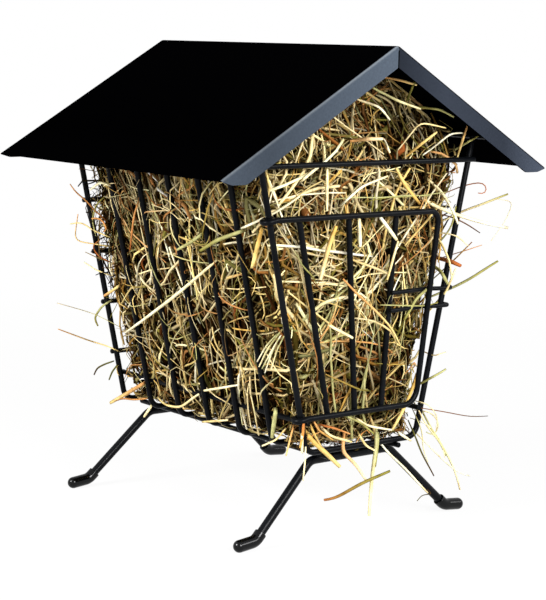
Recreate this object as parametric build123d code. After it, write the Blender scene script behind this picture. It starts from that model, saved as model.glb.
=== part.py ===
"""Free-standing hay feeder box for small pets: a wire hopper on four splayed legs under a gabled sheet roof.

Frame: +X along the ridge towards the end with the door, +Y across, +Z up.
The origin is on the floor, under the middle of the roof. Lengths are in millimetres.
"""

from build123d import *
import math
import os

# Roof: one steel sheet, bent along the ridge, with its gable edges turned down
roof_end_overhang = 19.9
roof_width = 213.8
eave_height = 187.5
roof_pitch = 30.5
roof_sheet = 1.0
ridge_bend = 3.5
flange_height = 9.5
flange_dip = 2.5
flange_bend = 1.7
flange_corner = 4.0
flange_slit = 0.8
flange_tip_run = 6.0

# Hopper: hoops of bent wire whose sides lean outwards, with the long rails welded along them
hoop_count = 7
hoop_wire = 3.1
hoop_row_length = 164.2
hoop_bend = 7.0
bottom_height = 46.3
bottom_half_width = 36.9
side_lean = 12.5
rail_wire = 2.8
bottom_rail_inset = 12.9
end_rail_rise = 4.0
cross_wire_count = 4
cross_wire_rise = 27.8
cross_wire_pitch = 29.05
cross_wire_overhang = 0.2
weld_overhang = 0.8
wire_end_round = 0.9

# Legs: one thick wire across each end of the hopper, with a soft cap pushed on each foot
leg_wire = 4.6
leg_inset = 9.4
leg_splay = 7.3
knee_overhang = 2.5
elbow_offset = 64.5
toe_length = 9.9
toe_drop = 1.0
knee_bend = 8.0
elbow_bend = 7.0
cap_wall = 0.85
cap_cuff = 5.2
cap_fit = 0.05

# Door: one bent wire, hooked round the front left corner bar, with three bars and a two-pronged catch
door_wire = 3.0
door_bottom_rise = 18.5
door_top_drop = 22.1
door_side_gap_top = 16.9
door_side_gap_bottom = 7.6
door_corner_top = 5.5
door_corner_bottom = 9.0
door_bar_count = 3
door_bar_start_top = 18.3
door_bar_pitch_top = 32.0
door_bar_start_bottom = 17.2
door_bar_pitch_bottom = 17.95
door_bar_end_inset = 0.5
eye_lead = 2.0
eye_lead_bend = 8.0
eye_turn = 250.0
prong_wire = 2.3
prong_rise = 50.5
prong_pitch = 9.2
prong_bend = 2.0
prong_hook = 4.6
prong_joggle = 5.5

# Clearances between pieces that move on each other
hinge_clearance = 0.3
catch_clearance = 0.35
roof_clearance = 0.3

# Worked-out places that several pieces share
lean = math.radians(side_lean)
roof_slope = math.radians(roof_pitch)
apex_height = eave_height + roof_width / 2 * math.tan(roof_slope)
front_hoop_x = hoop_row_length / 2
roof_length = hoop_row_length + 2 * roof_end_overhang
bottom_rail_offset = bottom_half_width - bottom_rail_inset
door_bottom_height = bottom_height + door_bottom_rise
door_top_height = eave_height - door_top_drop
hoop_pitch = hoop_row_length / (hoop_count - 1)
end_wire_x = front_hoop_x + (hoop_wire + rail_wire) / 2
side_up = Vector(0, math.sin(lean), math.cos(lean))
side_in = Vector(0, -math.cos(lean), math.sin(lean))


def bar_offset(height):
    """Distance of a hopper side's centreline from the middle plane, at this height."""
    return bottom_half_width + (height - bottom_height) * math.tan(lean)


def bar_half_width():
    """Half the width of a leaning hoop wire, measured level."""
    return hoop_wire / 2 / math.cos(lean)


def mirrored(vector, side):
    """The vector for the +Y side, carried to the side whose sign is given."""
    return Vector(vector.X, vector.Y * side, vector.Z)


def rod(start, end, diameter):
    """Straight round wire between two points, with rounded ends."""
    start, end = Vector(*start), Vector(*end)
    along = end - start
    wire = Solid.make_cylinder(diameter / 2, along.length, Plane(start, z_dir=along))
    return fillet(wire.edges().filter_by(GeomType.CIRCLE), wire_end_round * diameter / 4)


def bent_wire(path, diameter):
    """Round wire whose centreline is the given path, with rounded ends."""
    section = Plane(path @ 0, z_dir=path % 0) * Circle(diameter / 2)
    wire = sweep(section, path=path)
    ends = rims_at(wire, path @ 0) + rims_at(wire, path @ 1)
    return fillet(ends, wire_end_round * diameter / 4)


def rims_at(piece, centre):
    """Round edges of the piece that are centred on this point."""
    rounds = piece.edges().filter_by(GeomType.CIRCLE)
    return [edge for edge in rounds if (edge.arc_center - Vector(*centre)).length < 1e-3]


def make_hoop(x):
    """U-shaped hopper wire at this place along the ridge."""
    top = hoop_top_height()
    path = FilletPolyline(
        (x, -bar_offset(top), top),
        (x, -bottom_half_width, bottom_height),
        (x, bottom_half_width, bottom_height),
        (x, bar_offset(top), top),
        radius=hoop_bend,
    )
    return bent_wire(path, hoop_wire)


def top_rail_place():
    """Offset and height of the long rail that lies outside the hoop tops and carries the roof."""
    below_roof = (rail_wire / 2 + roof_clearance) / math.cos(roof_slope)
    across = (hoop_wire + rail_wire) / 2
    lowest = apex_height - roof_sheet / math.cos(roof_slope) - below_roof
    base = bottom_half_width + across / math.cos(lean) - bottom_height * math.tan(lean)
    height = (lowest - base * math.tan(roof_slope)) / (1 + math.tan(lean) * math.tan(roof_slope))
    return base + height * math.tan(lean), height


def hoop_top_height():
    """Height of the hoop ends, level with the middle of the top rails' weld."""
    return top_rail_place()[1] + rail_wire / 2 - weld_overhang


def make_top_rail(side):
    """Long rail outside the hoop tops, reaching to the roof's end flanges."""
    offset, height = top_rail_place()
    reach = roof_length / 2 - roof_sheet - 2 * roof_clearance
    return rod((-reach, side * offset, height), (reach, side * offset, height), rail_wire)


def lower_eye_centre():
    """Middle of the door's lower hinge eye, on the corner bar's centreline."""
    height = door_bottom_height - eye_lead * math.sin(lean)
    return Vector(front_hoop_x, -bar_offset(height), height)


def upper_eye_centre():
    """Middle of the door's upper hinge eye, on the corner bar's centreline."""
    height = door_top_height - eye_lead * math.sin(lean)
    return Vector(front_hoop_x, -bar_offset(height), height)


def make_lower_rail(side):
    """Long rail inside the hoops, just below the door's lower hinge eye, which rests on it."""
    clear = (rail_wire + door_wire) / 2 + hinge_clearance
    eye = lower_eye_centre()
    foot = Vector(0, -eye.Y, eye.Z) - side_up * clear
    centre = mirrored(foot + side_in * ((hoop_wire + rail_wire) / 2), side)
    reach = front_hoop_x + hoop_wire / 2 + weld_overhang
    return rod((-reach, centre.Y, centre.Z), (reach, centre.Y, centre.Z), rail_wire)


def make_bottom_rail(side):
    """Long rail under the hoop bottoms, which carries the legs' wires."""
    height = bottom_height - (hoop_wire + rail_wire) / 2
    reach = front_hoop_x + hoop_wire / 2 + weld_overhang
    offset = side * bottom_rail_offset
    return rod((-reach, offset, height), (reach, offset, height), rail_wire)


def make_cross_wire(end, height):
    """Level wire across the outside of an end hoop."""
    reach = bar_offset(height) + bar_half_width() + cross_wire_overhang
    x = end * end_wire_x
    return rod((x, -reach, height), (x, reach, height), rail_wire)


def foot_radius():
    """Outer radius of a foot cap."""
    return leg_wire / 2 + cap_fit + cap_wall


def leg_height():
    """Height of the level run of a leg wire, which lies under the bottom rails."""
    return bottom_height - hoop_wire / 2 - rail_wire - leg_wire / 2


def leg_point(end, offset, height):
    """Point of a leg wire's plane, which is tilted about the level run so that the feet spread endwards."""
    spread = (leg_height() - height) * math.tan(math.radians(leg_splay))
    return Vector(end * (front_hoop_x - leg_inset + spread), offset, height)


def toe_point(end, side):
    """Middle of the round end of a foot cap."""
    return leg_point(end, side * (elbow_offset + toe_length), foot_radius())


def elbow_point(end, side):
    """Corner of the leg's centreline where the leg turns out into the foot."""
    return leg_point(end, side * elbow_offset, foot_radius() + toe_drop)


def knee_point(end, side):
    """Corner of the leg's centreline under the hopper."""
    return leg_point(end, side * (bottom_rail_offset + knee_overhang), leg_height())


def make_leg(end):
    """Wire of one pair of legs: foot, leg, level run, leg and foot."""
    path = FilletPolyline(
        toe_point(end, -1),
        elbow_point(end, -1),
        knee_point(end, -1),
        knee_point(end, 1),
        elbow_point(end, 1),
        toe_point(end, 1),
        radius=[elbow_bend, knee_bend, knee_bend, elbow_bend],
    )
    return bent_wire(path, leg_wire)


def make_foot_cap(end, side):
    """Soft elbow cap over a foot: a tube round the bent wire, closed by a round end."""
    toe, elbow, knee = toe_point(end, side), elbow_point(end, side), knee_point(end, side)
    cuff = elbow + (knee - elbow).normalized() * cap_cuff
    path = FilletPolyline(cuff, elbow, toe, radius=elbow_bend)
    mouth = Plane(path @ 0, z_dir=path % 0)
    sleeve = sweep(mouth * Circle(foot_radius()), path=path)
    sleeve = fillet(rims_at(sleeve, cuff), cap_wall * wire_end_round / 2)
    bore = sweep(mouth * Circle(leg_wire / 2 + cap_fit), path=path)
    return sleeve + Pos(*toe) * Sphere(foot_radius()) - bore


def eye_arc(centre):
    """Hinge eye: an open curl square to the corner bar, ending at its front, headed across the door."""
    axis = mirrored(side_up, -1)
    plane = Plane(centre, x_dir=(1, 0, 0), z_dir=axis)
    return plane * CenterArc((0, 0), eye_radius(), -eye_turn, eye_turn)


def eye_radius():
    """Radius of a hinge eye's centreline, which also sets how far the door stands in front."""
    return (hoop_wire + door_wire) / 2 + hinge_clearance


def make_door_frame():
    """Door wire: upper eye, top run, free side, bottom run and lower eye."""
    x = front_hoop_x + eye_radius()
    upper, lower = upper_eye_centre(), lower_eye_centre()
    upper_start = Vector(x, upper.Y, upper.Z)
    lower_start = Vector(x, lower.Y, lower.Z)
    across = mirrored(side_in, -1) * eye_lead
    outline = FilletPolyline(
        upper_start,
        upper_start + across,
        (x, door_side_offset(door_top_height), door_top_height),
        (x, door_side_offset(door_bottom_height), door_bottom_height),
        lower_start + across,
        lower_start,
        radius=[eye_lead_bend, door_corner_top, door_corner_bottom, eye_lead_bend],
    )
    edges = eye_arc(upper).edges() + outline.edges() + eye_arc(lower).edges()
    return bent_wire(Wire(edges), door_wire)


def door_bar_x():
    """Place of the door bars, which are welded behind the door wire."""
    return front_hoop_x + eye_radius() - (door_wire + hoop_wire) / 2


def between_runs(bottom, top, height):
    """Value at this height, between those at the door's bottom run and at its top run."""
    share = (height - door_bottom_height) / (door_top_height - door_bottom_height)
    return bottom + (top - bottom) * share


def door_bar_point(index, height):
    """Point on a door bar's centreline at this height; the bars fan out upwards from the hinge side."""
    bottom = door_bar_start_bottom + index * door_bar_pitch_bottom
    top = door_bar_start_top + index * door_bar_pitch_top
    offset = between_runs(bottom, top, height) - bar_offset(height)
    return Vector(door_bar_x(), offset, height)


def make_door_bar(index):
    """Upright bar of the door; its ends stop just short of the outer edges of the door wire that hides them."""
    reach = door_wire / 2 - door_bar_end_inset
    low = door_bar_point(index, door_bottom_height - reach)
    high = door_bar_point(index, door_top_height + reach)
    return rod(low, high, hoop_wire)


def door_side_offset(height):
    """Offset of the door's free side at this height, inside the catch side's corner bar."""
    return bar_offset(height) - between_runs(door_side_gap_bottom, door_side_gap_top, height)


def make_catch_prong(height):
    """Catch wire: in front of the last bar, behind the free side, then hooked over the corner bar."""
    last_bar = door_bar_point(door_bar_count - 1, height)
    side = door_side_offset(height)
    corner = bar_offset(height) + bar_half_width()
    front_x = last_bar.X + (hoop_wire + prong_wire) / 2
    behind_x = front_hoop_x + eye_radius() - (door_wire + prong_wire) / 2
    over_x = front_hoop_x + (hoop_wire + prong_wire) / 2 + catch_clearance
    hook = corner + catch_clearance + prong_wire / 2
    path = FilletPolyline(
        (front_x, last_bar.Y - hoop_wire / 2, height),
        (front_x, last_bar.Y + hoop_wire, height),
        (behind_x, side - door_wire, height),
        (behind_x, side + door_wire / 2, height),
        (over_x, side + door_wire / 2 + prong_joggle, height),
        (over_x, hook, height),
        (over_x - prong_hook, hook, height),
        radius=prong_bend,
    )
    return bent_wire(path, prong_wire)


def gable_block(inset, ridge_round, gable_round):
    """Solid gable, this far inside the roof's outer faces, with its ridge and its upper end edges rounded."""
    end_x = roof_length / 2 - inset
    top = apex_height - inset / math.cos(roof_slope)
    reach = roof_width / 2 + flange_height + inset
    shoulder = top - reach * math.tan(roof_slope)
    foot = eave_height - 2 * flange_height - inset
    outline = Polyline(
        (-reach, foot),
        (-reach, shoulder),
        (0, top),
        (reach, shoulder),
        (reach, foot),
        close=True,
    )
    face = make_face(Plane.YZ * outline)
    face = fillet(face.vertices().sort_by(Axis.Z)[-1], ridge_round)
    block = extrude(face, end_x, both=True)
    upper = block.edges().filter_by(lambda edge: (edge @ 0.5).Z > shoulder)
    gable = upper.filter_by(lambda edge: all(abs(point.X) > end_x - 1e-6 for point in edge.vertices()))
    return fillet(gable, gable_round)


def roof_outline():
    """Face seen from the end: the sheet's slopes with the flange that hangs from them."""
    fall = math.tan(roof_slope)
    lower = apex_height - flange_height / math.cos(roof_slope)
    low = eave_height - flange_dip
    half = (
        (roof_width / 2, eave_height),
        (roof_width / 2 - roof_sheet * math.sin(roof_slope), eave_height - roof_sheet * math.cos(roof_slope)),
        (roof_width / 2 - flange_tip_run, low),
        ((lower - low) / fall, low),
    )
    other_half = [(-y, z) for y, z in reversed(half)]
    face = make_face(Plane.YZ * Polyline((0, apex_height), *half, (0, lower), *other_half, close=True))
    corners = face.vertices().filter_by(lambda point: abs(point.Z - low) < 1e-6)
    return fillet(corners, flange_corner)


def make_roof():
    """Bent roof sheet with its gable edges turned down into flanges, each slit under the ridge."""
    shell = gable_block(0, ridge_bend, flange_bend)
    shell -= gable_block(roof_sheet, ridge_bend - roof_sheet, flange_bend - roof_sheet)
    roof = shell & extrude(roof_outline(), roof_length / 2, both=True)
    slit_top = apex_height - flange_bend - roof_sheet
    slit_base = apex_height - 2 * flange_height
    slit = Box(2 * roof_sheet, flange_slit, slit_top - slit_base)
    for end in (-1, 1):
        roof -= Pos(end * roof_length / 2, 0, (slit_top + slit_base) / 2) * slit
    return roof


def save(name, piece):
    """Write one node's STEP file."""
    export_step(piece, os.path.join("parts", name + ".step"))


def main():
    os.makedirs("parts", exist_ok=True)
    for index in range(hoop_count):
        save(f"hoop_{index + 1}", make_hoop(front_hoop_x - index * hoop_pitch))
    for name, side in (("left", -1), ("right", 1)):
        save(f"top_rail_{name}", make_top_rail(side))
        save(f"lower_rail_{name}", make_lower_rail(side))
        save(f"bottom_rail_{name}", make_bottom_rail(side))
    save("front_end_rail", make_cross_wire(1, eave_height + end_rail_rise))
    save("rear_end_rail", make_cross_wire(-1, eave_height + end_rail_rise))
    for index in range(cross_wire_count):
        height = bottom_height + cross_wire_rise + index * cross_wire_pitch
        save(f"rear_cross_wire_{index + 1}", make_cross_wire(-1, height))
    for end_name, end in (("front", 1), ("rear", -1)):
        save(f"{end_name}_leg_wire", make_leg(end))
        for name, side in (("left", -1), ("right", 1)):
            save(f"{end_name}_{name}_foot_cap", make_foot_cap(end, side))
    save("door_frame", make_door_frame())
    for index in range(door_bar_count):
        save(f"door_bar_{index + 1}", make_door_bar(index))
    for index, name in enumerate(("lower", "upper")):
        height = door_bottom_height + prong_rise + index * prong_pitch
        save(f"{name}_catch_prong", make_catch_prong(height))
    save("roof", make_roof())


main()
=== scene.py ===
"""A wire hay feeder on splayed legs under a loose gabled roof, filled with hay.

Metres, +Z up. The door end is +X and the left long side is -Y, as in the part. Hay is worked out in
millimetres.
"""

import math
from functools import partial

import bpy
import numpy as np
from mathutils import Matrix, Vector


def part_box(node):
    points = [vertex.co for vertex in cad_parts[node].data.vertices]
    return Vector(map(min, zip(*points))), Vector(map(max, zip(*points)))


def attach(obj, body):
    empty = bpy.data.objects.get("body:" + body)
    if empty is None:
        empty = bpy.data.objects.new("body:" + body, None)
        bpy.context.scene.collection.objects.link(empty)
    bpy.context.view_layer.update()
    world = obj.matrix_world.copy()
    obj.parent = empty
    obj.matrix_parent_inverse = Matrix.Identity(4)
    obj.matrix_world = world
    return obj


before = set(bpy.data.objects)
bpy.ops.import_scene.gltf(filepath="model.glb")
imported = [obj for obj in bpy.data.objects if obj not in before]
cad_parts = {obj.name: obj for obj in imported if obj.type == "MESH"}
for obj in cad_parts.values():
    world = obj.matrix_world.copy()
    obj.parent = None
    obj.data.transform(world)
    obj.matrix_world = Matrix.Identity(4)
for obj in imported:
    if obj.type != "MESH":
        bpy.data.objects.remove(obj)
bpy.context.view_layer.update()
scene = bpy.context.scene
scene.view_settings.view_transform = "Standard"

MM = 0.001
SEED = 11

# The hopper and the roof, as the part has them (mm)
HOOP_PITCH = 27.37            # from one hoop to the next
FRONT_HOOP = 82.1             # the front hoop's plane
HOOP_FOOT = 46.3              # middle of the hoops' level run
FOOT_HALF_WIDTH = 36.9        # half the width of the hopper at the foot of its sides
SIDE_LEAN = math.tan(math.radians(12.5))
ROOF_FALL = math.tan(math.radians(30.5))
ROOF_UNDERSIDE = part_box("roof")[1].z / MM - 1.2
ROOF_HALF_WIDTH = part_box("roof")[1].y    # metres
SHOULDER = 187.0              # where the hay's side turns in to follow the roof
EAVE_HAY = 184.0              # the sides' wires hold the hay up to here

# The door (mm)
DOOR_LOW = 72.0               # stalks are woven into the door from this height
DOOR_HIGH = 158.0             # to this one
DOOR_EDGE = 14.0              # and this far from its upright edges
BEHIND_DOOR = 80.4            # just behind its bars
OVER_BARS = 4.6               # how far stalks arch over its bars
DOOR_FOOT = 62.0              # hay swells out of the end below this height, over FOOT_FADE,
FOOT_FADE = 4.0
DOOR_HEAD = 176.0             # and above this one, over HEAD_FADE
HEAD_FADE = 12.0
DOOR_FOLD = 0.5               # how fast the open door stands off the left side, per mm from the front hoop
DOOR_CLEARANCE = 3.0
DOOR_REACH = 48.0             # half the width in which stalks are woven into it
OVER_WIRES = 5.0              # how far stalks arch over the side wires,
OVER_WIRES_LOW = 66.0         # from this height
OVER_WIRES_HIGH = 178.0       # to this one
OVER_WIRES_REACH = 58.0       # and this far to each side of the middle

# Where the hay lies (mm)
HAY_FLOOR = 48.8
HAY_UNDER_ROOF = 1.6          # gap below the roof sheet
HAY_TOP = ROOF_UNDERSIDE - HAY_UNDER_ROOF
HAY_END = 79.0                # where the hay stops behind the door
HAY_BEHIND_WIRES = 2.4        # from the wires' middle plane to the outermost pressed stalk
HAY_BULGE = 3.4               # how far it swells out half way between two hoops
END_BULGE = 4.0               # and how far below and above the door
HAY_CORNER = 8.0              # power of the rounded rectangle that the hay fills in plan
HAY_EDGE = 22.0               # width of its upright edges, where its ends draw back
EDGE_DRAW = 3.0               # by this much
HAY_SLACK = 9.0               # how much further in the deeper stalks are pressed
FLOOR_SLACK = 0.4             # share of that which counts above the floor
TOP_SLACK = 1.0               # how much further below the roof every stalk stays
NARROWEST = 0.5               # half the width that the hay keeps at its narrowest
LOOSE_END = 60.0              # loose hay sticks out of the left side up to here,
LOOSE_FADE = 15.0             # less and less over the last stretch
BOTTOM_HAY = 12.0             # thickness of the hay that rests on the bottom wires
BOTTOM_REACH = 3.0            # how far it goes past the end of the rest
CORNER_HAY = 9.0              # width of the hay that fills the upright edges,
CORNER_FROM_END = 4.0         # and how far it keeps from the ends
CORNER_FROM_SIDE = 2.0        # and the sides
TOP_SETBACK = 14.0            # how far the gable of hay steps back from both ends
SETBACK_FROM = 190.0          # between this height
SETBACK_TO = 214.0            # and this one
RIDGE_HAY = 44.0              # how far down from the roof the gable of hay is filled up
RIDGE_REACH = 58.0            # and how far in from its ends,
RIDGE_UNDER_ROOF = 3.0        # this far below the roof
RIDGE_FROM_END = 1.0          # and behind the ends
FOOT_HAY_FROM = 68.0          # where the loose hay in the front foot of the hopper starts
CORNER_HAY_FROM = HAY_FLOOR + 4.0
CORNER_FUZZ_FROM = 110.0

# The dense core of the hay: how many places round it and up it, how far it keeps from the hopper's floor
# and the roof (mm), and its share of the hay's width and length
CORE_TURNS, CORE_LEVELS = 96, 56
CORE_ABOVE_FLOOR = 2.5
CORE_BELOW_ROOF = 26.0
CORE_SHARE = 0.90

# How hay is strewn: the box in which places for it are drawn (mm), and the shares of its half width
STREWN_END = 84.0
STREWN_SIDE = 72.0
STREWN_TOP = 4.0              # below the roof's underside
STREWN_HIGH = 0.85            # power of the height's share; below 1, more of them lie high up
DRAWS = 6                     # places drawn for each one wanted
HAY_INSIDE = 0.76             # where the darkest stalks lie
HAY_OUTSIDE = 0.98            # and the palest
THIN_ABOVE = 186.0            # above this height the hay is thin on the right
THIN_SHARE = 0.35

# How hay is shaded: shade painted into the stalks' colour, darker with depth and under the ridge
DEEP_SHADE = 0.012            # share of its colour that the deepest stalk keeps
SHADE_POWER = 6.5             # how fast the rest comes back towards the outside
GABLE_SHADE = 0.55            # share of its light that hay loses under the ridge,
GABLE_SHADE_FROM = 190.0      # from this height
GABLE_SHADE_SPAN = 45.0       # over this much more (mm)
OWN_LIGHT = (0.42, 1.25)      # what each stalk's light is multiplied by, at random
UNEVEN = (0.86, 1.08)         # and what each of its sections' is
OWN_COLOUR = 0.3              # share of stalks that differ in colour from their wisp
TIP_COLOUR = 0.35             # share of another colour in a stalk's tip

# Stalks
STALK_POINTS = 7
STALK_SIDES = 4
FOLD = (0.5, 1.7)             # how sharply a broken one folds (radians)
NARROW_POWER = 1.8            # above 1, most stalks of a kind are narrower than its mean
WISP_SHIFT = 7.0              # how far stalks of a wisp slide along each other (mm)
STRAY_POINTS = 15
STRAY_FLOOR = 2.0             # lowest place of a stray stalk (mm)
STRAY_END = 98.0              # how far stray stalks reach back along the feeder (mm),
STRAY_PUSH = 0.8              # and how far out of the side each mm past that puts them

# The view: where the camera stands (mm), how it is turned (degrees), its focal length and middle (pixels
# of a 546 by 600 view)
VIEW_FROM = (770.63, -602.99, 254.61)
VIEW_YAW, VIEW_PITCH, VIEW_ROLL = 51.74, 8.34, 1.13
VIEW_FOCAL = 1814.95
VIEW_MIDDLE = (273.0, 300.0)
VIEW_LONG_SIDE = 600.0
SENSOR = 36.0
LAMP_AIM = Vector((0.0, 0.0, 0.12))
FLOOR_HALF = 4.0


# ---------------------------------------------------------------- nodes

def feed(tree, node, feeds):
    """Gives sockets of a node, each by its name or place, a plain value or the output of another node."""
    for socket, value in feeds.items():
        if isinstance(value, bpy.types.NodeSocket):
            tree.links.new(value, node.inputs[socket])
        else:
            node.inputs[socket].default_value = value


def add_node(tree, kind, feeds=None, **settings):
    """A new shader node of a kind with its own settings, its sockets fed."""
    node = tree.nodes.new("ShaderNode" + kind)
    for name, value in settings.items():
        setattr(node, name, value)
    feed(tree, node, feeds or {})
    return node


def maths(tree, operation, *terms):
    """The result of a Math node on one or two terms."""
    return add_node(tree, "Math", dict(enumerate(terms)), operation=operation).outputs[0]


def value_range(tree, source, low, high, from_low=0.3, from_high=0.7):
    """source, spread over low to high."""
    spread = add_node(tree, "MapRange", {"Value": source, "From Min": from_low, "From Max": from_high,
                                         "To Min": low, "To Max": high})
    return spread.outputs["Result"]


def colour_ramp(tree, source, stops):
    """The colour that a ramp with the given (place, colour) stops has at source."""
    ramp = add_node(tree, "ValToRGB", {"Fac": source})
    elements = ramp.color_ramp.elements
    for element, (place, colour) in zip((elements[0], elements[1]), (stops[0], stops[-1])):
        element.position = place
        element.color = (*colour, 1.0)
    for place, colour in stops[1:-1]:
        elements.new(place).color = (*colour, 1.0)
    return ramp.outputs["Color"]


def blend(tree, amount, first, second, how="MIX"):
    """Two colours blended by amount."""
    mix = add_node(tree, "Mix", {"Factor": amount, "A": first, "B": second}, data_type="RGBA", blend_type=how)
    return mix.outputs["Result"]


def noise(tree, place, scale, detail, **more):
    """Noise at place."""
    feeds = {"Vector": place, "Scale": scale, "Detail": detail, **more}
    return add_node(tree, "TexNoise", feeds).outputs["Fac"]


def new_material(name):
    """An empty node material and its tree."""
    material = bpy.data.materials.new(name)
    material.use_nodes = True
    material.node_tree.nodes.clear()
    return material, material.node_tree


def surface(tree, roughness, specular, height, bump_strength, bump_distance):
    """A plain shader with a bumped normal, put out as the material's surface; its colour is fed later."""
    bump = add_node(tree, "Bump", {"Height": height, "Strength": bump_strength, "Distance": bump_distance})
    shader = add_node(tree, "BsdfPrincipled", {"Roughness": roughness, "Specular IOR Level": specular,
                                               "Normal": bump.outputs["Normal"]})
    add_node(tree, "OutputMaterial", {"Surface": shader.outputs[0]})
    return shader


def group_with(name, inputs, outputs):
    """A node group with named inputs (name, kind, value) and outputs (name, kind), what comes into it, and
    the node that takes what it puts out."""
    group = bpy.data.node_groups.new(name, "ShaderNodeTree")
    for label, kind, value in inputs:
        socket = group.interface.new_socket(label, in_out="INPUT", socket_type=kind)
        if value is not None:
            socket.default_value = value
    for label, kind in outputs:
        group.interface.new_socket(label, in_out="OUTPUT", socket_type=kind)
    return group, group.nodes.new("NodeGroupInput").outputs, group.nodes.new("NodeGroupOutput")


# ---------------------------------------------------------------- camera, light and floor

def view_axes():
    """Right, up and back of the view, turned by yaw, pitch and roll."""
    yaw, pitch, roll = (math.radians(a) for a in (VIEW_YAW, VIEW_PITCH, VIEW_ROLL))
    back = Vector((math.sin(yaw) * math.cos(pitch), -math.cos(yaw) * math.cos(pitch), math.sin(pitch)))
    level = Vector((math.cos(yaw), math.sin(yaw), 0.0))
    up = back.cross(level)
    return (math.cos(roll) * level + math.sin(roll) * up, math.cos(roll) * up - math.sin(roll) * level, back)


def add_camera():
    """The camera looks from above the left front corner."""
    camera = bpy.data.objects.new("camera", bpy.data.cameras.new("camera"))
    camera.data.sensor_width = SENSOR
    camera.data.lens = VIEW_FOCAL * SENSOR / VIEW_LONG_SIDE
    camera.data.clip_end = 50.0
    place = Vector(VIEW_FROM) * MM
    camera.matrix_world = Matrix.Translation(place) @ Matrix(view_axes()).transposed().to_4x4()
    scene.collection.objects.link(camera)
    scene.camera = camera


def add_softbox(name, place, width, height, power):
    """A flat lamp at place that faces the middle of the feeder; its width lies level."""
    lamp = bpy.data.lights.new(name, "AREA")
    lamp.shape = "RECTANGLE"
    lamp.size = width
    lamp.size_y = height
    lamp.energy = power
    box = bpy.data.objects.new(name, lamp)
    box.location = place
    box.rotation_euler = (Vector(place) - LAMP_AIM).to_track_quat("Z", "Y").to_euler()
    scene.collection.objects.link(box)


def background_rays(tree):
    """1 for what the camera sees directly, in gloss or through glass; 0 for the light on the feeder."""
    path = add_node(tree, "LightPath").outputs
    seen = maths(tree, "MAXIMUM", path["Is Camera Ray"], path["Is Glossy Ray"])
    return maths(tree, "MAXIMUM", seen, path["Is Transmission Ray"])


def add_world():
    """White where it is seen, and an even grey light for the feeder."""
    world = bpy.data.worlds.new("studio")
    world.use_nodes = True
    tree = world.node_tree
    tree.nodes.clear()
    seen = add_node(tree, "Background", {"Color": (1.0, 1.0, 1.0, 1.0), "Strength": 1.0})
    light = add_node(tree, "Background", {"Color": (1.0, 0.97, 0.93, 1.0), "Strength": 0.19})
    mix = add_node(tree, "MixShader", {0: background_rays(tree), 1: light.outputs[0], 2: seen.outputs[0]})
    add_node(tree, "OutputWorld", {"Surface": mix.outputs[0]})
    scene.world = world


def add_floor():
    """A plain pale floor that shows white. A little of its own colour is left near the feeder, so that the
    shadow shows, and less from 0.1 to 0.8 metres away."""
    half = FLOOR_HALF
    corners = [(-half, -half, 0), (half, -half, 0), (half, half, 0), (-half, half, 0)]
    mesh = bpy.data.meshes.new("floor")
    mesh.from_pydata(corners, [], [(0, 1, 2, 3)])
    floor = bpy.data.objects.new("floor", mesh)
    scene.collection.objects.link(floor)
    material, tree = new_material("pale_floor")
    plain = add_node(tree, "BsdfDiffuse", {"Color": (0.85, 0.85, 0.85, 1.0)})
    white = add_node(tree, "Emission", {"Color": (1.0, 1.0, 1.0, 1.0), "Strength": 1.0})
    place = add_node(tree, "TexCoord").outputs["Object"]
    away = add_node(tree, "VectorMath", {0: place}, operation="LENGTH").outputs["Value"]
    clearing = value_range(tree, away, 0.93, 1.0, 0.10, 0.80)
    amount = maths(tree, "MULTIPLY", background_rays(tree), clearing)
    mix = add_node(tree, "MixShader", {0: amount, 1: plain.outputs[0], 2: white.outputs[0]})
    add_node(tree, "OutputMaterial", {"Surface": mix.outputs[0]})
    mesh.materials.append(material)


# ---------------------------------------------------------------- paint

def paint_group():
    """Sprayed paint: fine orange peel as a height, and slow patches as a mask."""
    group, inp, out = group_with(
        "sprayed_paint",
        [("Vector", "NodeSocketVector", None), ("Peel Scale", "NodeSocketFloat", 1400.0),
         ("Patch Scale", "NodeSocketFloat", 45.0)],
        [("Peel", "NodeSocketFloat"), ("Patches", "NodeSocketFloat")])
    feed(group, out, {"Peel": noise(group, inp["Vector"], inp["Peel Scale"], detail=2.0),
                      "Patches": noise(group, inp["Vector"], inp["Patch Scale"], detail=5.0)})
    return group


def coating(name, group, gloss, specular, peel_height, peel_scale=1400.0):
    """Paint on metal: orange peel, and a gloss that changes in slow patches. Its colour is fed later."""
    material, tree = new_material(name)
    place = add_node(tree, "TexCoord").outputs["Object"]
    paint = add_node(tree, "Group", {"Vector": place, "Peel Scale": peel_scale}, node_tree=group).outputs
    roughness = value_range(tree, paint["Patches"], *gloss)
    shader = surface(tree, roughness, specular, paint["Peel"], bump_strength=0.6, bump_distance=peel_height)
    return material, tree, shader, paint["Patches"]


def black_paint(name, group, dark, pale, **finish):
    """A coating in two near blacks that change in slow patches."""
    material, tree, shader, patches = coating(name, group, **finish)
    feed(tree, shader, {"Base Color": colour_ramp(tree, patches, [(0.3, dark), (0.7, pale)])})
    return material


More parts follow.
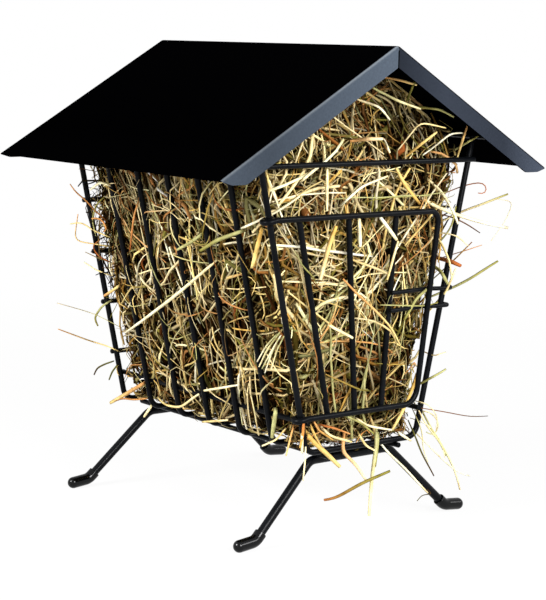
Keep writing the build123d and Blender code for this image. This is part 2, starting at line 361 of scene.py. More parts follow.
def roof_paint_and_edge_light(group):
    """Dead matt black on the slopes. The turned down gable edges get painted light and shade, as greys that
    follow how far the sheet has turned towards the gable: the left halves are painted pale, as if they caught
    the light on their bend, and the right halves are painted darker, as if in shade. Both are multiplied by
    greys of painted light and shade that follow the way from the ridge to the eave."""
    material, tree, shader, _ = coating("roof_paint_and_edge_light", group, gloss=(0.55, 0.68), specular=0.0,
                                        peel_height=0.00006)
    place = add_node(tree, "TexCoord").outputs
    at = add_node(tree, "SeparateXYZ", {0: place["Object"]}).outputs
    facing = add_node(tree, "SeparateXYZ", {0: place["Normal"]}).outputs
    turned = maths(tree, "MULTIPLY", facing["X"], maths(tree, "SIGN", at["X"]))
    slope = (0.0006, 0.0006, 0.0008)
    # Painted light on the left gable edge, painted shade on the right one.
    left = colour_ramp(tree, turned, [(0.22, slope), (0.42, (0.150, 0.172, 0.198)),
                                      (0.66, (0.165, 0.188, 0.214)), (0.97, (0.066, 0.083, 0.108))])
    right = colour_ramp(tree, turned, [(0.55, slope), (0.86, (0.009, 0.010, 0.014)),
                                       (0.98, (0.033, 0.040, 0.055))])
    on_right = maths(tree, "GREATER_THAN", at["Y"], 0.0)
    edge = blend(tree, on_right, left, right)
    run = value_range(tree, maths(tree, "ABSOLUTE", at["Y"]), 0.0, 1.0, 0.0, ROOF_HALF_WIDTH)
    # Painted light and shade along the gable edges, from the ridge to the eave.
    painted_edge_falls = [[(0.05, (0.75,) * 3), (0.75, (0.42,) * 3), (0.95, (0.54,) * 3)],
             [(0.0, (0.35,) * 3), (0.3, (0.65,) * 3), (0.7, (0.52,) * 3), (0.95, (1.1,) * 3)]]
    painted_edge_fall = blend(tree, on_right, *(colour_ramp(tree, run, stops) for stops in painted_edge_falls))
    painted_edge_light_and_shade = blend(tree, 1.0, edge, painted_edge_fall, "MULTIPLY")
    mottle = noise(tree, place["Object"], scale=900.0, detail=3.0)
    uneven = colour_ramp(tree, mottle, [(0.3, (0.84, 0.84, 0.85)), (0.7, (1.0, 1.0, 1.0))])
    feed(tree, shader, {"Base Color": blend(tree, 1.0, painted_edge_light_and_shade, uneven, "MULTIPLY")})
    return material


def paint_wires_and_roof():
    """Every part of the feeder gets its own black: coated wires, roof sheet and soft foot caps."""
    group = paint_group()
    wire = black_paint("wire_coating", group, (0.0014, 0.0017, 0.0023), (0.0032, 0.0037, 0.0048),
                       gloss=(0.24, 0.36), specular=0.055, peel_height=0.00010)
    leg = black_paint("leg_coating", group, (0.0012, 0.0015, 0.0021), (0.0028, 0.0033, 0.0044),
                      gloss=(0.22, 0.32), specular=0.085, peel_height=0.00010)
    cap = black_paint("cap_vinyl", group, (0.0005, 0.0006, 0.0008), (0.0012, 0.0013, 0.0017),
                      gloss=(0.10, 0.16), specular=0.20, peel_height=0.00001, peel_scale=300.0)
    roof = roof_paint_and_edge_light(group)
    for name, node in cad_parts.items():
        if name == "roof":
            finish = roof
        elif name.endswith("_cap"):
            finish = cap
        elif name.endswith("_leg_wire"):
            finish = leg
        else:
            finish = wire
        node.data.materials.clear()
        node.data.materials.append(finish)


# ---------------------------------------------------------------- where hay can lie

def unit(vectors):
    """Every vector made one long."""
    return vectors / np.maximum(np.linalg.norm(vectors, axis=-1, keepdims=True), 1e-9)


def share(distance, span):
    """How much of a span a distance covers, from 0 to 1."""
    return np.clip(distance / span, 0, 1)


def side_offset(z):
    """How far the side wires' middle plane stands from the middle of the feeder at height z."""
    return FOOT_HALF_WIDTH + (z - HOOP_FOOT) * SIDE_LEAN


def hay_half_width(z):
    """Half the hay's width: the leaning wires below the eaves and the roof's slopes above them."""
    return np.minimum(side_offset(z) - HAY_BEHIND_WIRES, (HAY_TOP - z) / ROOF_FALL)


def top_setback(z):
    """How far the gable of hay has stepped back from the ends at a height."""
    return TOP_SETBACK * share(z - SETBACK_FROM, SETBACK_TO - SETBACK_FROM)


def press_in(points, slack, loose):
    """Moves points back to where hay can be: behind the wires with a swell between two hoops, behind
    the door, under the roof and over the bottom wires. Every stalk stays its own slack further in.
    Loose hay may stick out that much further at the sides, the rear and the bottom."""
    x, y, z = points[..., 0], points[..., 1], points[..., 2]
    own = slack[:, None]
    z = np.clip(z, HAY_FLOOR + own * FLOOR_SLACK - loose, HAY_TOP - TOP_SLACK - own)
    held = z < EAVE_HAY
    loose_side = loose * held * np.where(y < 0, share(LOOSE_END - x, LOOSE_FADE), 1)
    swell = HAY_BULGE * (0.5 - 0.5 * np.cos(2 * np.pi * (x - FRONT_HOOP) / HOOP_PITCH)) * held
    limit = np.minimum(side_offset(z) - HAY_BEHIND_WIRES + swell + loose_side, (HAY_TOP - z) / ROOF_FALL)
    limit = np.maximum(limit - own, NARROWEST)
    y = np.clip(y, -limit, limit)
    edge = share(np.abs(y) - (side_offset(z) - HAY_EDGE), HAY_EDGE)
    below, above = share(DOOR_FOOT - z, FOOT_FADE), share(z - DOOR_HEAD, HEAD_FADE)
    end = HAY_END + END_BULGE * below + END_BULGE * above - EDGE_DRAW * edge
    end = end - top_setback(z) - own
    x = np.clip(x, -end - loose, end)
    return np.stack([x, y, z], -1)


# ---------------------------------------------------------------- where hay is strewn

def hay_places(rng, count, shell):
    """Points in the outer shell of the hay's rounded rectangle, with the way out and the depth share
    at each.

    A point of the box around the hay is kept where the 8th powers of its shares of the half length and
    half width, added up, give an 8th root inside shell. The depth share runs from 0 at the inside to 1
    at the outside. The way out follows the 5th powers, so that it turns late, near the edges."""
    kept, outward, depths = [], [], []
    while sum(len(places) for places in kept) < count:
        drawn = rng.uniform((-1, -1, 0), (1, 1, 1), (count * DRAWS, 3))
        z = HAY_FLOOR + drawn[:, 2] ** STREWN_HIGH * (ROOF_UNDERSIDE - STREWN_TOP - HAY_FLOOR)
        half = hay_half_width(z)
        x = drawn[:, 0] * STREWN_END
        y = drawn[:, 1] * STREWN_SIDE
        endwise, sidewise = np.abs(x) / HAY_END, np.abs(y) / half
        reach = (endwise ** HAY_CORNER + sidewise ** HAY_CORNER) ** (1 / HAY_CORNER)
        thin = (z > THIN_ABOVE) & (y > 0) & (rng.random(len(z)) < THIN_SHARE)
        inside = (reach > shell[0]) & (reach < shell[1]) & ~thin
        rise = np.where(z < SHOULDER, -SIDE_LEAN, 1 / ROOF_FALL)
        out_x = np.sign(x) * endwise ** 5 / HAY_END
        out_y = np.sign(y) * sidewise ** 5 / half
        out_z = sidewise ** 5 / half * rise
        kept.append(np.stack([x, y, z], -1)[inside])
        outward.append(unit(np.stack([out_x, out_y, out_z], -1)[inside]))
        depths.append(share(reach - HAY_INSIDE, HAY_OUTSIDE - HAY_INSIDE)[inside])
    return (np.concatenate(part)[:count] for part in (kept, outward, depths))


def bottom_places(rng, count, rear):
    """Points in the slab of hay that rests on the bottom wires, from rear to the front end, with the
    way out and the depth share at each."""
    z = HAY_FLOOR + rng.uniform(0, BOTTOM_HAY, count)
    x = rng.uniform(rear, HAY_END + BOTTOM_REACH, count)
    y = rng.uniform(-1, 1, count) * (side_offset(z) - HAY_BEHIND_WIRES)
    outward = np.broadcast_to((0.0, 0.0, -1.0), (count, 3))
    return np.stack([x, y, z], -1), outward, rng.uniform(0.05, 1.0, count)


def corner_places(rng, count, low, corners):
    """Points down upright edges of the hay, each corner given by its end and its side, from low to the
    eaves, with the way out and the depth share at each."""
    z = rng.uniform(low, EAVE_HAY, count)
    end, side = np.array(corners)[rng.integers(0, len(corners), count)].T
    x = end * (HAY_END - CORNER_FROM_END - rng.uniform(0, CORNER_HAY, count))
    y = side * (hay_half_width(z) - CORNER_FROM_SIDE - rng.uniform(0, CORNER_HAY, count))
    outward = unit(np.stack([end * 0.7, side * 0.7, np.full(count, -0.15)], -1))
    return np.stack([x, y, z], -1), outward, rng.uniform(0.1, 0.97, count)


def ridge_places(rng, count):
    """Points in the gable of hay over its dense middle, most of them near the two ends, with the way
    out and the depth share at each."""
    z = ROOF_UNDERSIDE - RIDGE_UNDER_ROOF - RIDGE_HAY * rng.random(count)
    from_end = rng.random(count) ** 2
    end = rng.choice((-1, 1), count)
    x = end * (HAY_END - RIDGE_FROM_END - RIDGE_REACH * from_end)
    y = rng.uniform(-1, 1, count) * hay_half_width(z)
    outward = unit(np.stack([end, 0.2 * np.sign(y), np.full(count, 0.3)], -1))
    return np.stack([x, y, z], -1), outward, HAY_OUTSIDE - rng.uniform(0.1, 0.8, count)


def headings(rng, outward, upright, out_share):
    """Ways to lie in the surface of the hay: upright is the share that runs up and down the wires."""
    level = unit(np.cross(np.broadcast_to((0, 0, 1.0), outward.shape), outward) + 1e-6)
    rise = np.cross(outward, level)
    count = len(outward)
    steep = rng.random(count) < upright
    angle = np.where(steep, rng.normal(size=count) * 0.5, rng.uniform(-np.pi / 2, np.pi / 2, count))
    way = rise * np.cos(angle)[:, None] + level * np.sin(angle)[:, None]
    return unit(way + outward * (rng.normal(size=count) * out_share)[:, None])


# ---------------------------------------------------------------- stalks

def hay_lines(rng, middle, heading, across, length, bow, wander, fold_share):
    """Middle lines of stalks: each starts along its heading, turns evenly by bow, wanders at every
    step, and folds once where it was broken. The steps are added up and the line's middle is put at
    middle."""
    count, steps = len(middle), STALK_POINTS - 1
    side = unit(np.cross(heading, across))
    lift = np.cross(heading, side)
    along = np.linspace(-0.5, 0.5, steps)
    turn = bow[:, None] * along + wander * np.cumsum(rng.normal(size=(count, steps)), 1)
    tilt = wander * np.cumsum(rng.normal(size=(count, steps)), 1)
    fold = np.where(rng.random(count) < fold_share, rng.uniform(*FOLD, count), 0.0)
    turn = turn + fold[:, None] * (np.arange(steps) >= rng.integers(1, steps, count)[:, None])
    way = (heading[:, None] * (np.cos(turn) * np.cos(tilt))[..., None]
           + side[:, None] * np.sin(turn)[..., None]
           + lift[:, None] * (np.cos(turn) * np.sin(tilt))[..., None])
    way = way * (length / steps)[:, None, None]
    lines = np.concatenate([np.zeros((count, 1, 3)), np.cumsum(way, 1)], 1)
    return lines - lines.mean(1, keepdims=True) + middle[:, None]


def stalk_sections(lines, width, thick, facing, turn, pointed):
    """The corners of a four cornered section, width by thick, carried along every line with its flat
    side towards facing and twisted by turn from root to tip. Pointed stalks narrow to their ends: 4
    times the share of the run, times what is left of it, to the power 0.7, on a run that is cut by
    about 0.05 at both ends, so that no end closes to a point."""
    along = np.linspace(0, 1, lines.shape[1])
    tangent = unit(np.gradient(lines, axis=1))
    first = unit(np.cross(tangent, facing[:, None]))
    second = np.cross(tangent, first)
    angle = turn[:, None] * (along - 0.5)
    wide = first * np.cos(angle)[..., None] + second * np.sin(angle)[..., None]
    deep = second * np.cos(angle)[..., None] - first * np.sin(angle)[..., None]
    narrowing = 1 - pointed[:, None] * (1 - (4 * (along * 0.9 + 0.06) * (0.94 - along * 0.9)) ** 0.7)
    half_wide = (width[:, None] / 2 * narrowing)[..., None]
    half_deep = (thick[:, None] / 2 * narrowing)[..., None]
    return np.stack([lines + wide * half_wide, lines + deep * half_deep,
                     lines - wide * half_wide, lines - deep * half_deep], 2)


def stalk_faces(count, points):
    """The walls between neighbouring sections, and a face over each root and each tip."""
    grid = np.arange(count * points * STALK_SIDES).reshape(count, points, STALK_SIDES)
    around = np.roll(grid, -1, axis=2)
    walls = np.stack([grid[:, :-1], around[:, :-1], around[:, 1:], grid[:, 1:]], -1).reshape(-1, 4)
    roots = grid[:, 0, ::-1].reshape(-1, 4)
    tips = grid[:, -1, :].reshape(-1, 4)
    return np.concatenate([walls, roots, tips]).astype(np.int32)


def stalk_colours(rng, root_tint, tip_tint, points):
    """A colour for every corner, from root_tint to tip_tint by the power 1.5 of the run, uneven from
    section to section."""
    mix = (np.linspace(0, 1, points) ** 1.5)[None, :, None]
    tint = root_tint[:, None] * (1 - mix) + tip_tint[:, None] * mix
    tint = np.clip(tint * rng.uniform(*UNEVEN, (len(tint), points, 1)), 0, 0.94)
    tint = np.repeat(tint[:, :, None], STALK_SIDES, 2).reshape(-1, 3)
    return np.concatenate([tint, np.ones((len(tint), 1))], 1)


def stalk_run(lines):
    """Where every corner lies round its stalk (0 to 1) and along it (units of 50 mm)."""
    along = np.linspace(0, 1, lines.shape[1])
    span = np.linalg.norm(np.diff(lines, axis=1), axis=2).sum(1)
    run = (along[None] * span[:, None])[:, :, None] + np.zeros(STALK_SIDES)
    turn = np.broadcast_to(np.arange(STALK_SIDES) / STALK_SIDES, run.shape)
    return np.stack([turn, run * 0.02], -1).reshape(-1, 2)


def add_stalks(rng, name, body, lines, width, thick, facing, turn, pointed, root_tint, tip_tint, material):
    """One piece of many stalks, with their colours and their run for the material."""
    count, points = lines.shape[:2]
    vertices = stalk_sections(lines, width, thick, facing, turn, pointed).reshape(-1, 3) * MM
    faces = stalk_faces(count, points)
    mesh = bpy.data.meshes.new(name)
    mesh.vertices.add(len(vertices))
    mesh.vertices.foreach_set("co", vertices.astype(np.float32).ravel())
    mesh.loops.add(faces.size)
    mesh.loops.foreach_set("vertex_index", faces.ravel())
    mesh.polygons.add(len(faces))
    mesh.polygons.foreach_set("loop_start", np.arange(0, faces.size, 4, dtype=np.int32))
    mesh.update(calc_edges=True)
    mesh.polygons.foreach_set("use_smooth", np.ones(len(faces), bool))
    colours = stalk_colours(rng, root_tint, tip_tint, points).astype(np.float32)
    mesh.attributes.new("tint", "FLOAT_COLOR", "POINT").data.foreach_set("color", colours.ravel())
    uv = mesh.uv_layers.new(name="stalk_run")
    uv.data.foreach_set("uv", stalk_run(lines)[faces.ravel()].astype(np.float32).ravel())
    mesh.materials.append(material)
    stalks = bpy.data.objects.new(name, mesh)
    scene.collection.objects.link(stalks)
    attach(stalks, body)


def srgb(*levels):
    """0 to 255 screen levels as linear light."""
    part = np.array(levels, float) / 255
    return np.where(part <= 0.04045, part / 12.92, ((part + 0.055) / 1.055) ** 2.4)


WHITE = srgb(255, 248, 220)
CREAM = srgb(250, 234, 186)
STRAW = srgb(232, 208, 140)
GOLD = srgb(212, 172, 92)
SAGE = srgb(176, 176, 122)
OLIVE = srgb(138, 132, 62)
MOSS = srgb(96, 96, 44)
TAN = srgb(206, 150, 92)
BROWN = srgb(138, 86, 42)
RUST = srgb(176, 100, 52)
DARK = srgb(66, 44, 24)

# Kinds of stalk: colours with their shares, width and thickness share, length (mm), bow, wander, broken
# share, how far they narrow to their ends, and the wisps they lie in: stalks in one, distance apart (mm)
# and fan
STEMS = dict(tints=[(CREAM, 5), (STRAW, 5), (GOLD, 3), (SAGE, 2), (OLIVE, 1), (TAN, 2)],
             width=(0.7, 2.0), flat=(0.7, 1.0), length=(20, 75), bow=0.6, wander=0.06, broken=0.35,
             pointed=0.0, wisp=3, apart=3.0, fan=0.22)
BLADES = dict(tints=[(SAGE, 4), (OLIVE, 4), (MOSS, 2), (STRAW, 4),
                     (CREAM, 2), (BROWN, 2), (TAN, 2), (GOLD, 2)],
              width=(1.2, 3.4), flat=(0.08, 0.16), length=(16, 60), bow=1.5, wander=0.12, broken=0.3,
              pointed=1.0, wisp=2, apart=3.0, fan=0.3)
FIBRES = dict(tints=[(CREAM, 5), (STRAW, 5), (GOLD, 2), (SAGE, 3), (OLIVE, 2), (TAN, 3), (BROWN, 1)],
              width=(0.35, 0.9), flat=(0.6, 1.0), length=(14, 60), bow=1.6, wander=0.2, broken=0.35,
              pointed=0.6, wisp=4, apart=2.8, fan=0.3)
FLAKES = dict(tints=[(BROWN, 4), (TAN, 4), (OLIVE, 2), (DARK, 2), (GOLD, 1), (RUST, 1)],
              width=(2.0, 4.6), flat=(0.06, 0.1), length=(8, 22), bow=1.2, wander=0.2, broken=0.2,
              pointed=1.0, wisp=1, apart=0.0, fan=0.0)
STRAWS = dict(tints=[(WHITE, 4), (CREAM, 6), (STRAW, 4), (SAGE, 2), (GOLD, 1)],
              width=(0.7, 1.8), flat=(0.6, 0.9), length=(20, 85), bow=0.5, wander=0.06, broken=0.4,
              pointed=0.3, wisp=2, apart=3.0, fan=0.3)
FUZZ = dict(tints=[(CREAM, 4), (STRAW, 5), (SAGE, 3), (OLIVE, 3), (TAN, 3), (BROWN, 1)],
            width=(0.3, 0.9), flat=(0.5, 1.0), length=(10, 36), bow=1.6, wander=0.18, broken=0.35,
            pointed=0.6, wisp=2, apart=3.0, fan=0.6, loose=5.0)
WOVEN = dict(tints=[(CREAM, 4), (STRAW, 5), (SAGE, 4), (OLIVE, 3), (TAN, 3), (BROWN, 2), (GOLD, 2)],
             width=(0.4, 1.5), length=(16, 42), bow=0.7, wander=0.06, broken=0.2, pointed=0.6)
CORNER_FUZZ = dict(FUZZ, width=(0.4, 1.5), length=(14, 44), apart=4.0, loose=13.0)


def pick(rng, tints, count):
    """Colours drawn from (colour, share) pairs."""
    colours = np.array([colour for colour, _ in tints])
    shares = np.array([weight for _, weight in tints], float)
    return colours[rng.choice(len(tints), count, p=shares / shares.sum())]


def stalk_widths(rng, kind, count):
    """Widths of stalks of a kind, most of them near its narrow end."""
    narrow, broad = kind["width"]
    return narrow + (broad - narrow) * rng.random(count) ** NARROW_POWER


def grow(rng, name, kind, middle, outward, depth, heading, material):
    """Wisps of one kind of stalk around the given middles. The stalks of a wisp lie nearly side by side, bend
    alike and share a colour; the deeper they lie, the darker the shade painted into their colour."""
    wisps, many = len(middle), kind["wisp"]
    wisp_of = np.repeat(np.arange(wisps), many)
    count = len(wisp_of)
    shift = rng.normal(size=(count, 3)) * kind["apart"]
    shift = shift + heading[wisp_of] * rng.normal(size=(count, 1)) * WISP_SHIFT
    middle = middle[wisp_of] + shift * (many > 1)
    outward = outward[wisp_of]
    across = unit(rng.normal(size=(wisps, 3)))[wisp_of]
    heading = unit(heading[wisp_of] + rng.normal(size=(count, 3)) * kind["fan"])
    length = rng.uniform(*kind["length"], count)
    width = stalk_widths(rng, kind, count)
    bow = kind["bow"] * (rng.normal(size=wisps)[wisp_of] * 0.9 + rng.normal(size=count) * 0.35)
    lines = hay_lines(rng, middle, heading, across, length, bow, kind["wander"], kind["broken"])
    slack = HAY_SLACK * ((1 - depth[wisp_of]) + 0.5 * rng.random(count) ** 2)
    lines = press_in(lines, slack, kind.get("loose", 0.0))
    own = rng.random((count, 1)) < OWN_COLOUR
    root = np.where(own, pick(rng, kind["tints"], count), pick(rng, kind["tints"], wisps)[wisp_of])
    tip = (1 - TIP_COLOUR) * root + TIP_COLOUR * pick(rng, kind["tints"], count)
    light = painted_hay_shade(rng, middle, depth[wisp_of])
    facing = unit(outward + rng.normal(size=(count, 3)) * 0.55)
    add_stalks(rng, name, "hopper", lines, width, width * rng.uniform(*kind["flat"], count), facing,
               turn=rng.normal(size=count) * 0.9, pointed=np.full(count, kind["pointed"]),
               root_tint=root * light, tip_tint=tip * light, material=material)


def painted_hay_shade(rng, middle, depth):
    """Painted shade: how much light each stalk's colour keeps, less the deeper it lies and less under the
    ridge, and uneven in slow patches that two crossed waves make. Deep hay is also painted warmer, keeping
    least of its green and blue, as painted warm shade."""
    random_patches_and_ridge_shade = 1 + 0.3 * np.sin(middle @ (0.11, 0.09, 0.07)) * np.sin(middle @ (-0.06, 0.10, 0.12) + 1.0)
    random_patches_and_ridge_shade = random_patches_and_ridge_shade * (1 - GABLE_SHADE * share(middle[:, 2] - GABLE_SHADE_FROM, GABLE_SHADE_SPAN))
    painted_light_share = (DEEP_SHADE + (1 - DEEP_SHADE) * depth ** SHADE_POWER) * random_patches_and_ridge_shade
    shade = painted_light_share * rng.uniform(*OWN_LIGHT, len(middle))
    # Painted warm shade: deeper stalks are painted browner, keeping less green and blue.
    dry = depth ** 2
    return np.stack([np.ones(len(middle)), 0.62 + 0.36 * dry, 0.06 + 0.88 * dry], -1) * shade[:, None]


# ---------------------------------------------------------------- stalks that stick out

# Stray stalks: width (mm), colours at the root and the tip, and the view places (pixels) they run
# through
LEFT_STRAYS = {
    "long straw over the wires": (1.7, CREAM, WHITE, [(217, 260), (175, 296), (134, 327), (125, 333)]),
    "straw up to the corner": (1.3, WHITE, CREAM, [(240, 229), (256, 222), (280, 210), (300, 196)]),
    "sage blade": (1.8, SAGE, SAGE, [(203, 233), (190, 243), (177, 250)]),
    "long sage blade": (2.0, SAGE, OLIVE, [(245, 230), (217, 240), (200, 251)]),
    "curled tan strand": (1.0, TAN, RUST, [(139, 200), (134, 215), (130, 250)]),
    "high broken twig": (0.9, BROWN, TAN, [(108, 222), (95, 211), (86, 200), (76, 193), (70, 184)]),
    "bent fibre": (0.7, STRAW, TAN, [(112, 247), (95, 244), (74, 241), (78, 214)]),
    "level fibre": (0.8, STRAW, STRAW, [(112, 238), (92, 230), (82, 222), (70, 224)]),
    "low fibre": (0.4, SAGE, STRAW, [(122, 328), (95, 314), (75, 308), (57, 303)]),
    "long low stem": (0.8, STRAW, TAN, [(120, 352), (108, 346), (90, 341), (58, 329)]),
    "dark arc": (1.0, MOSS, DARK, [(114, 361), (105, 364), (97, 368), (94, 375)]),
    "lower dark arc": (1.0, MOSS, MOSS, [(118, 364), (112, 372), (109, 380)]),
    "broad tan blade": (2.2, TAN, STRAW, [(146, 382), (126, 394), (110, 403)]),
    "short tan blade": (1.6, STRAW, TAN, [(120, 285), (112, 291), (104, 296)]),
    "hanging sage blade": (2.2, SAGE, SAGE, [(276, 408), (272, 438)]),
    "cream end": (1.5, CREAM, CREAM, [(152, 405), (144, 417)]),
    "straw along the bottom": (1.3, CREAM, WHITE, [(202, 391), (238, 385)]),
    "looped straw": (1.3, STRAW, CREAM, [(158, 397), (164, 405), (181, 408), (190, 400), (199, 394)]),
    "low level straw": (1.2, STRAW, CREAM, [(202, 422), (228, 420)]),
    "left strand of the pale tuft": (0.8, SAGE, WHITE, [(277, 334), (266, 346), (257, 362)]),
    "second strand of the tuft": (0.9, SAGE, CREAM, [(280, 332), (268, 348), (259, 367)]),
    "middle strand of the tuft": (0.8, WHITE, SAGE, [(281, 335), (272, 350), (262, 369)]),
    "fourth strand of the tuft": (0.8, SAGE, WHITE, [(279, 338), (271, 354), (265, 373)]),
    "right strand of the tuft": (0.7, SAGE, CREAM, [(284, 336), (277, 350), (271, 370)]),
    "yellow blade by the front hoop": (2.1, GOLD, STRAW, [(262, 228), (257, 248), (252, 268)]),
    "straw end at the eaves": (1.4, CREAM, WHITE, [(112, 186), (100, 182), (90, 190)]),
    "curled rust end": (0.8, RUST, BROWN, [(110, 262), (98, 256), (92, 246), (100, 240)]),
    "sage end by the corner": (1.2, SAGE, OLIVE, [(112, 300), (102, 306), (94, 318), (98, 326)]),
    "drooping sage fibre": (0.8, OLIVE, SAGE, [(106, 196), (96, 204), (92, 220), (96, 236)]),
    "thin end by the corner": (0.7, STRAW, CREAM, [(112, 276), (96, 270), (84, 262)]),
    "low tan twig": (1.0, TAN, BROWN, [(150, 398), (134, 400), (122, 398), (113, 402)]),
}
CORNER_STRAYS = {
    "pale blade round the corner": (2.0, SAGE, CREAM, [(295, 327), (323, 302), (347, 296)]),
}
LOW_STRAYS = {
    "long hanging blade": (1.9, SAGE, CREAM, [(375, 418), (377, 441), (373, 467), (371, 487), (369, 516)]),
    "hanging blade's twin": (1.4, SAGE, OLIVE, [(378, 430), (378, 441), (375, 467)]),
    "salmon straw": (
        1.8, TAN, CREAM, [(345, 428), (343, 441), (342, 453), (352, 460), (359, 469), (366, 480)]),
    "broad gold blade": (2.4, GOLD, STRAW, [(303, 428), (312, 441), (326, 453), (340, 467)]),
    "cream straw at the foot": (1.4, CREAM, CREAM, [(302, 430), (302, 453)]),
    "tan fibre at the foot": (0.9, TAN, STRAW, [(294, 425), (292, 431), (286, 456)]),
    "thin cream fibre": (0.8, CREAM, CREAM, [(306, 440), (305, 462), (303, 481)]),
    "white stem along the leg": (
        1.1, WHITE, CREAM, [(375, 435), (385, 450), (404, 467), (421, 486), (428, 493)]),
    "grey green blade": (0.9, MOSS, DARK, [(408, 420), (416, 438), (421, 452), (434, 476)]),
    "long sage blade on the right": (
        1.1, SAGE, CREAM, [(418, 403), (434, 434), (444, 448), (456, 472), (460, 490)]),
    "its pale fellow": (0.9, CREAM, SAGE, [(414, 402), (428, 428), (440, 442), (446, 456)]),
    "long cream straw on the right": (0.8, CREAM, WHITE, [(411, 428), (442, 459), (458, 473), (470, 476)]),
    "pale curl at the corner": (
        0.7, CREAM, SAGE, [(414, 410), (432, 412), (440, 424), (434, 437), (426, 432)]),
    "fine sage fibre": (0.6, SAGE, CREAM, [(412, 408), (422, 430), (423, 450), (428, 462)]),
    "fine white fibre": (0.6, WHITE, CREAM, [(410, 418), (428, 424), (441, 440), (445, 458)]),
    "fine cream loop": (0.6, CREAM, CREAM, [(412, 400), (428, 404), (438, 416), (436, 430)]),
    "rust gold strand": (1.4, RUST, GOLD, [(304, 416), (303, 434), (300, 448)]),
    "gold strand by the corner": (1.2, GOLD, STRAW, [(308, 420), (316, 438), (324, 452)]),
    "tan strand by the corner": (1.0, TAN, GOLD, [(311, 416), (318, 430), (333, 440)]),
    "level rust strand": (1.1, RUST, TAN, [(316, 424), (334, 428), (350, 434)]),
    "cream strand in front": (1.2, CREAM, WHITE, [(352, 416), (368, 426), (392, 430)]),
    "sage strand in front": (1.2, SAGE, OLIVE, [(340, 414), (360, 422), (374, 434)]),
    "level brown fibre": (0.5, BROWN, DARK, [(408, 406), (446, 412), (470, 417), (488, 416)]),
    "white end": (1.4, WHITE, CREAM, [(396, 431), (411, 441)]),
    "straw before the bottom": (1.3, CREAM, STRAW, [(318, 424), (330, 436), (352, 442)]),
    "straw by the bend": (1.2, STRAW, CREAM, [(356, 430), (366, 446), (378, 452)]),
    "thin straw under the corner": (0.9, STRAW, CREAM, [(286, 428), (276, 440), (262, 446)]),
}
CAUGHT_STRAYS = {
    "stalk across the hanging blade": (
        1.7, OLIVE, BROWN, [(390, 471), (362, 483), (348, 491), (334, 499), (324, 500)]),
    "fine dark curl": (0.5, DARK, MOSS, [(427, 489), (432, 494), (422, 495), (417, 501)]),
}
RIGHT_STRAYS = {
    "sage blade out": (1.4, SAGE, OLIVE, [(430, 297), (452, 288), (470, 279), (485, 269), (498, 261)]),
    "long cream bundle": (1.9, CREAM, WHITE, [(407, 189), (430, 204), (454, 214), (480, 222), (508, 228)]),
    "cream to olive straw": (
        1.2, CREAM, OLIVE, [(443, 221), (460, 212), (480, 205), (495, 199), (508, 194)]),
    "thin cream arc": (0.4, CREAM, CREAM, [(495, 199), (514, 201), (505, 222), (491, 241)]),
    "thin dark fibre": (0.7, BROWN, DARK, [(432, 212), (455, 218), (470, 226), (480, 233)]),
    "short dark fibre": (0.7, OLIVE, BROWN, [(432, 280), (454, 260), (472, 242)]),
    "level tan fibre": (0.5, BROWN, TAN, [(434, 260), (467, 250), (482, 245)]),
    "rust curl": (
        0.6, BROWN, RUST, [(438, 196), (462, 186), (484, 181), (489, 189), (484, 197), (478, 193)]),
    "brown leaf": (2.3, BROWN, RUST, [(434, 257), (450, 261), (461, 266)]),
    "olive blade": (1.3, OLIVE, SAGE, [(405, 392), (425, 381), (440, 373), (446, 369)]),
    "straw at the catch side": (1.2, STRAW, CREAM, [(428, 312), (446, 292), (456, 268)]),
    "broad straw by the corner bar": (1.6, CREAM, WHITE, [(424, 176), (440, 190), (452, 208), (458, 224)]),
    "straw down the corner": (1.2, STRAW, CREAM, [(430, 226), (442, 244), (450, 262), (452, 280)]),
    "sage fibre up the corner": (0.9, SAGE, OLIVE, [(428, 252), (442, 240), (452, 226), (456, 206)]),
    "cream fibre across the corner": (0.8, CREAM, CREAM, [(424, 238), (440, 232), (458, 236), (468, 246)]),
    "olive blade round the corner bar": (1.8, OLIVE, SAGE, [(426, 262), (440, 270), (448, 284)]),
    "fibre low on the right": (0.7, STRAW, CREAM, [(420, 350), (434, 356), (446, 352)]),
}
GABLE_STRAYS = {
    "tan stem": (1.4, TAN, STRAW, [(380, 76), (400, 80), (417, 85)]),
    "pale sage blade": (1.3, SAGE, CREAM, [(373, 88), (398, 101), (421, 109)]),
    "olive blade up": (1.4, OLIVE, SAGE, [(408, 106), (440, 109), (454, 117)]),
    "green stem": (1.2, MOSS, OLIVE, [(407, 101), (412, 88), (415, 81)]),
    "cream straw": (1.1, CREAM, WHITE, [(356, 99), (380, 107), (390, 120)]),
    "short cream straw": (1.1, WHITE, CREAM, [(384, 139), (390, 153)]),
    "white straw out": (1.0, WHITE, WHITE, [(423, 155), (435, 146), (451, 133), (463, 133)]),
    "gold blade up": (1.5, GOLD, STRAW, [(404, 158), (421, 144), (437, 132)]),
    "salmon flake": (2.0, TAN, CREAM, [(350, 141), (366, 139), (383, 139)]),
    "cream tan straw": (1.3, STRAW, TAN, [(457, 158), (463, 139), (467, 126)]),
    "sage end": (1.2, SAGE, OLIVE, [(455, 150), (466, 143), (478, 136)]),
    "long straw up": (0.9, CREAM, STRAW, [(398, 150), (420, 122), (446, 128)]),
}
OVER_DOOR_STRAYS = {
    "cream straw to the rail": (1.7, CREAM, WHITE, [(300, 182), (314, 170), (327, 160)]),
    "upright cream straw": (1.6, CREAM, CREAM, [(327, 164), (327, 190), (327, 211)]),
    "level sage line": (0.6, SAGE, SAGE, [(327, 200), (356, 197), (380, 198), (407, 195), (430, 196)]),
    "second sage line": (0.5, OLIVE, SAGE, [(360, 203), (388, 197), (410, 197), (447, 192)]),
    "slanting straw": (1.4, WHITE, CREAM, [(340, 206), (362, 186), (388, 176)]),
    "slanting gold blade": (1.9, GOLD, STRAW, [(420, 204), (404, 184), (396, 168)]),
}
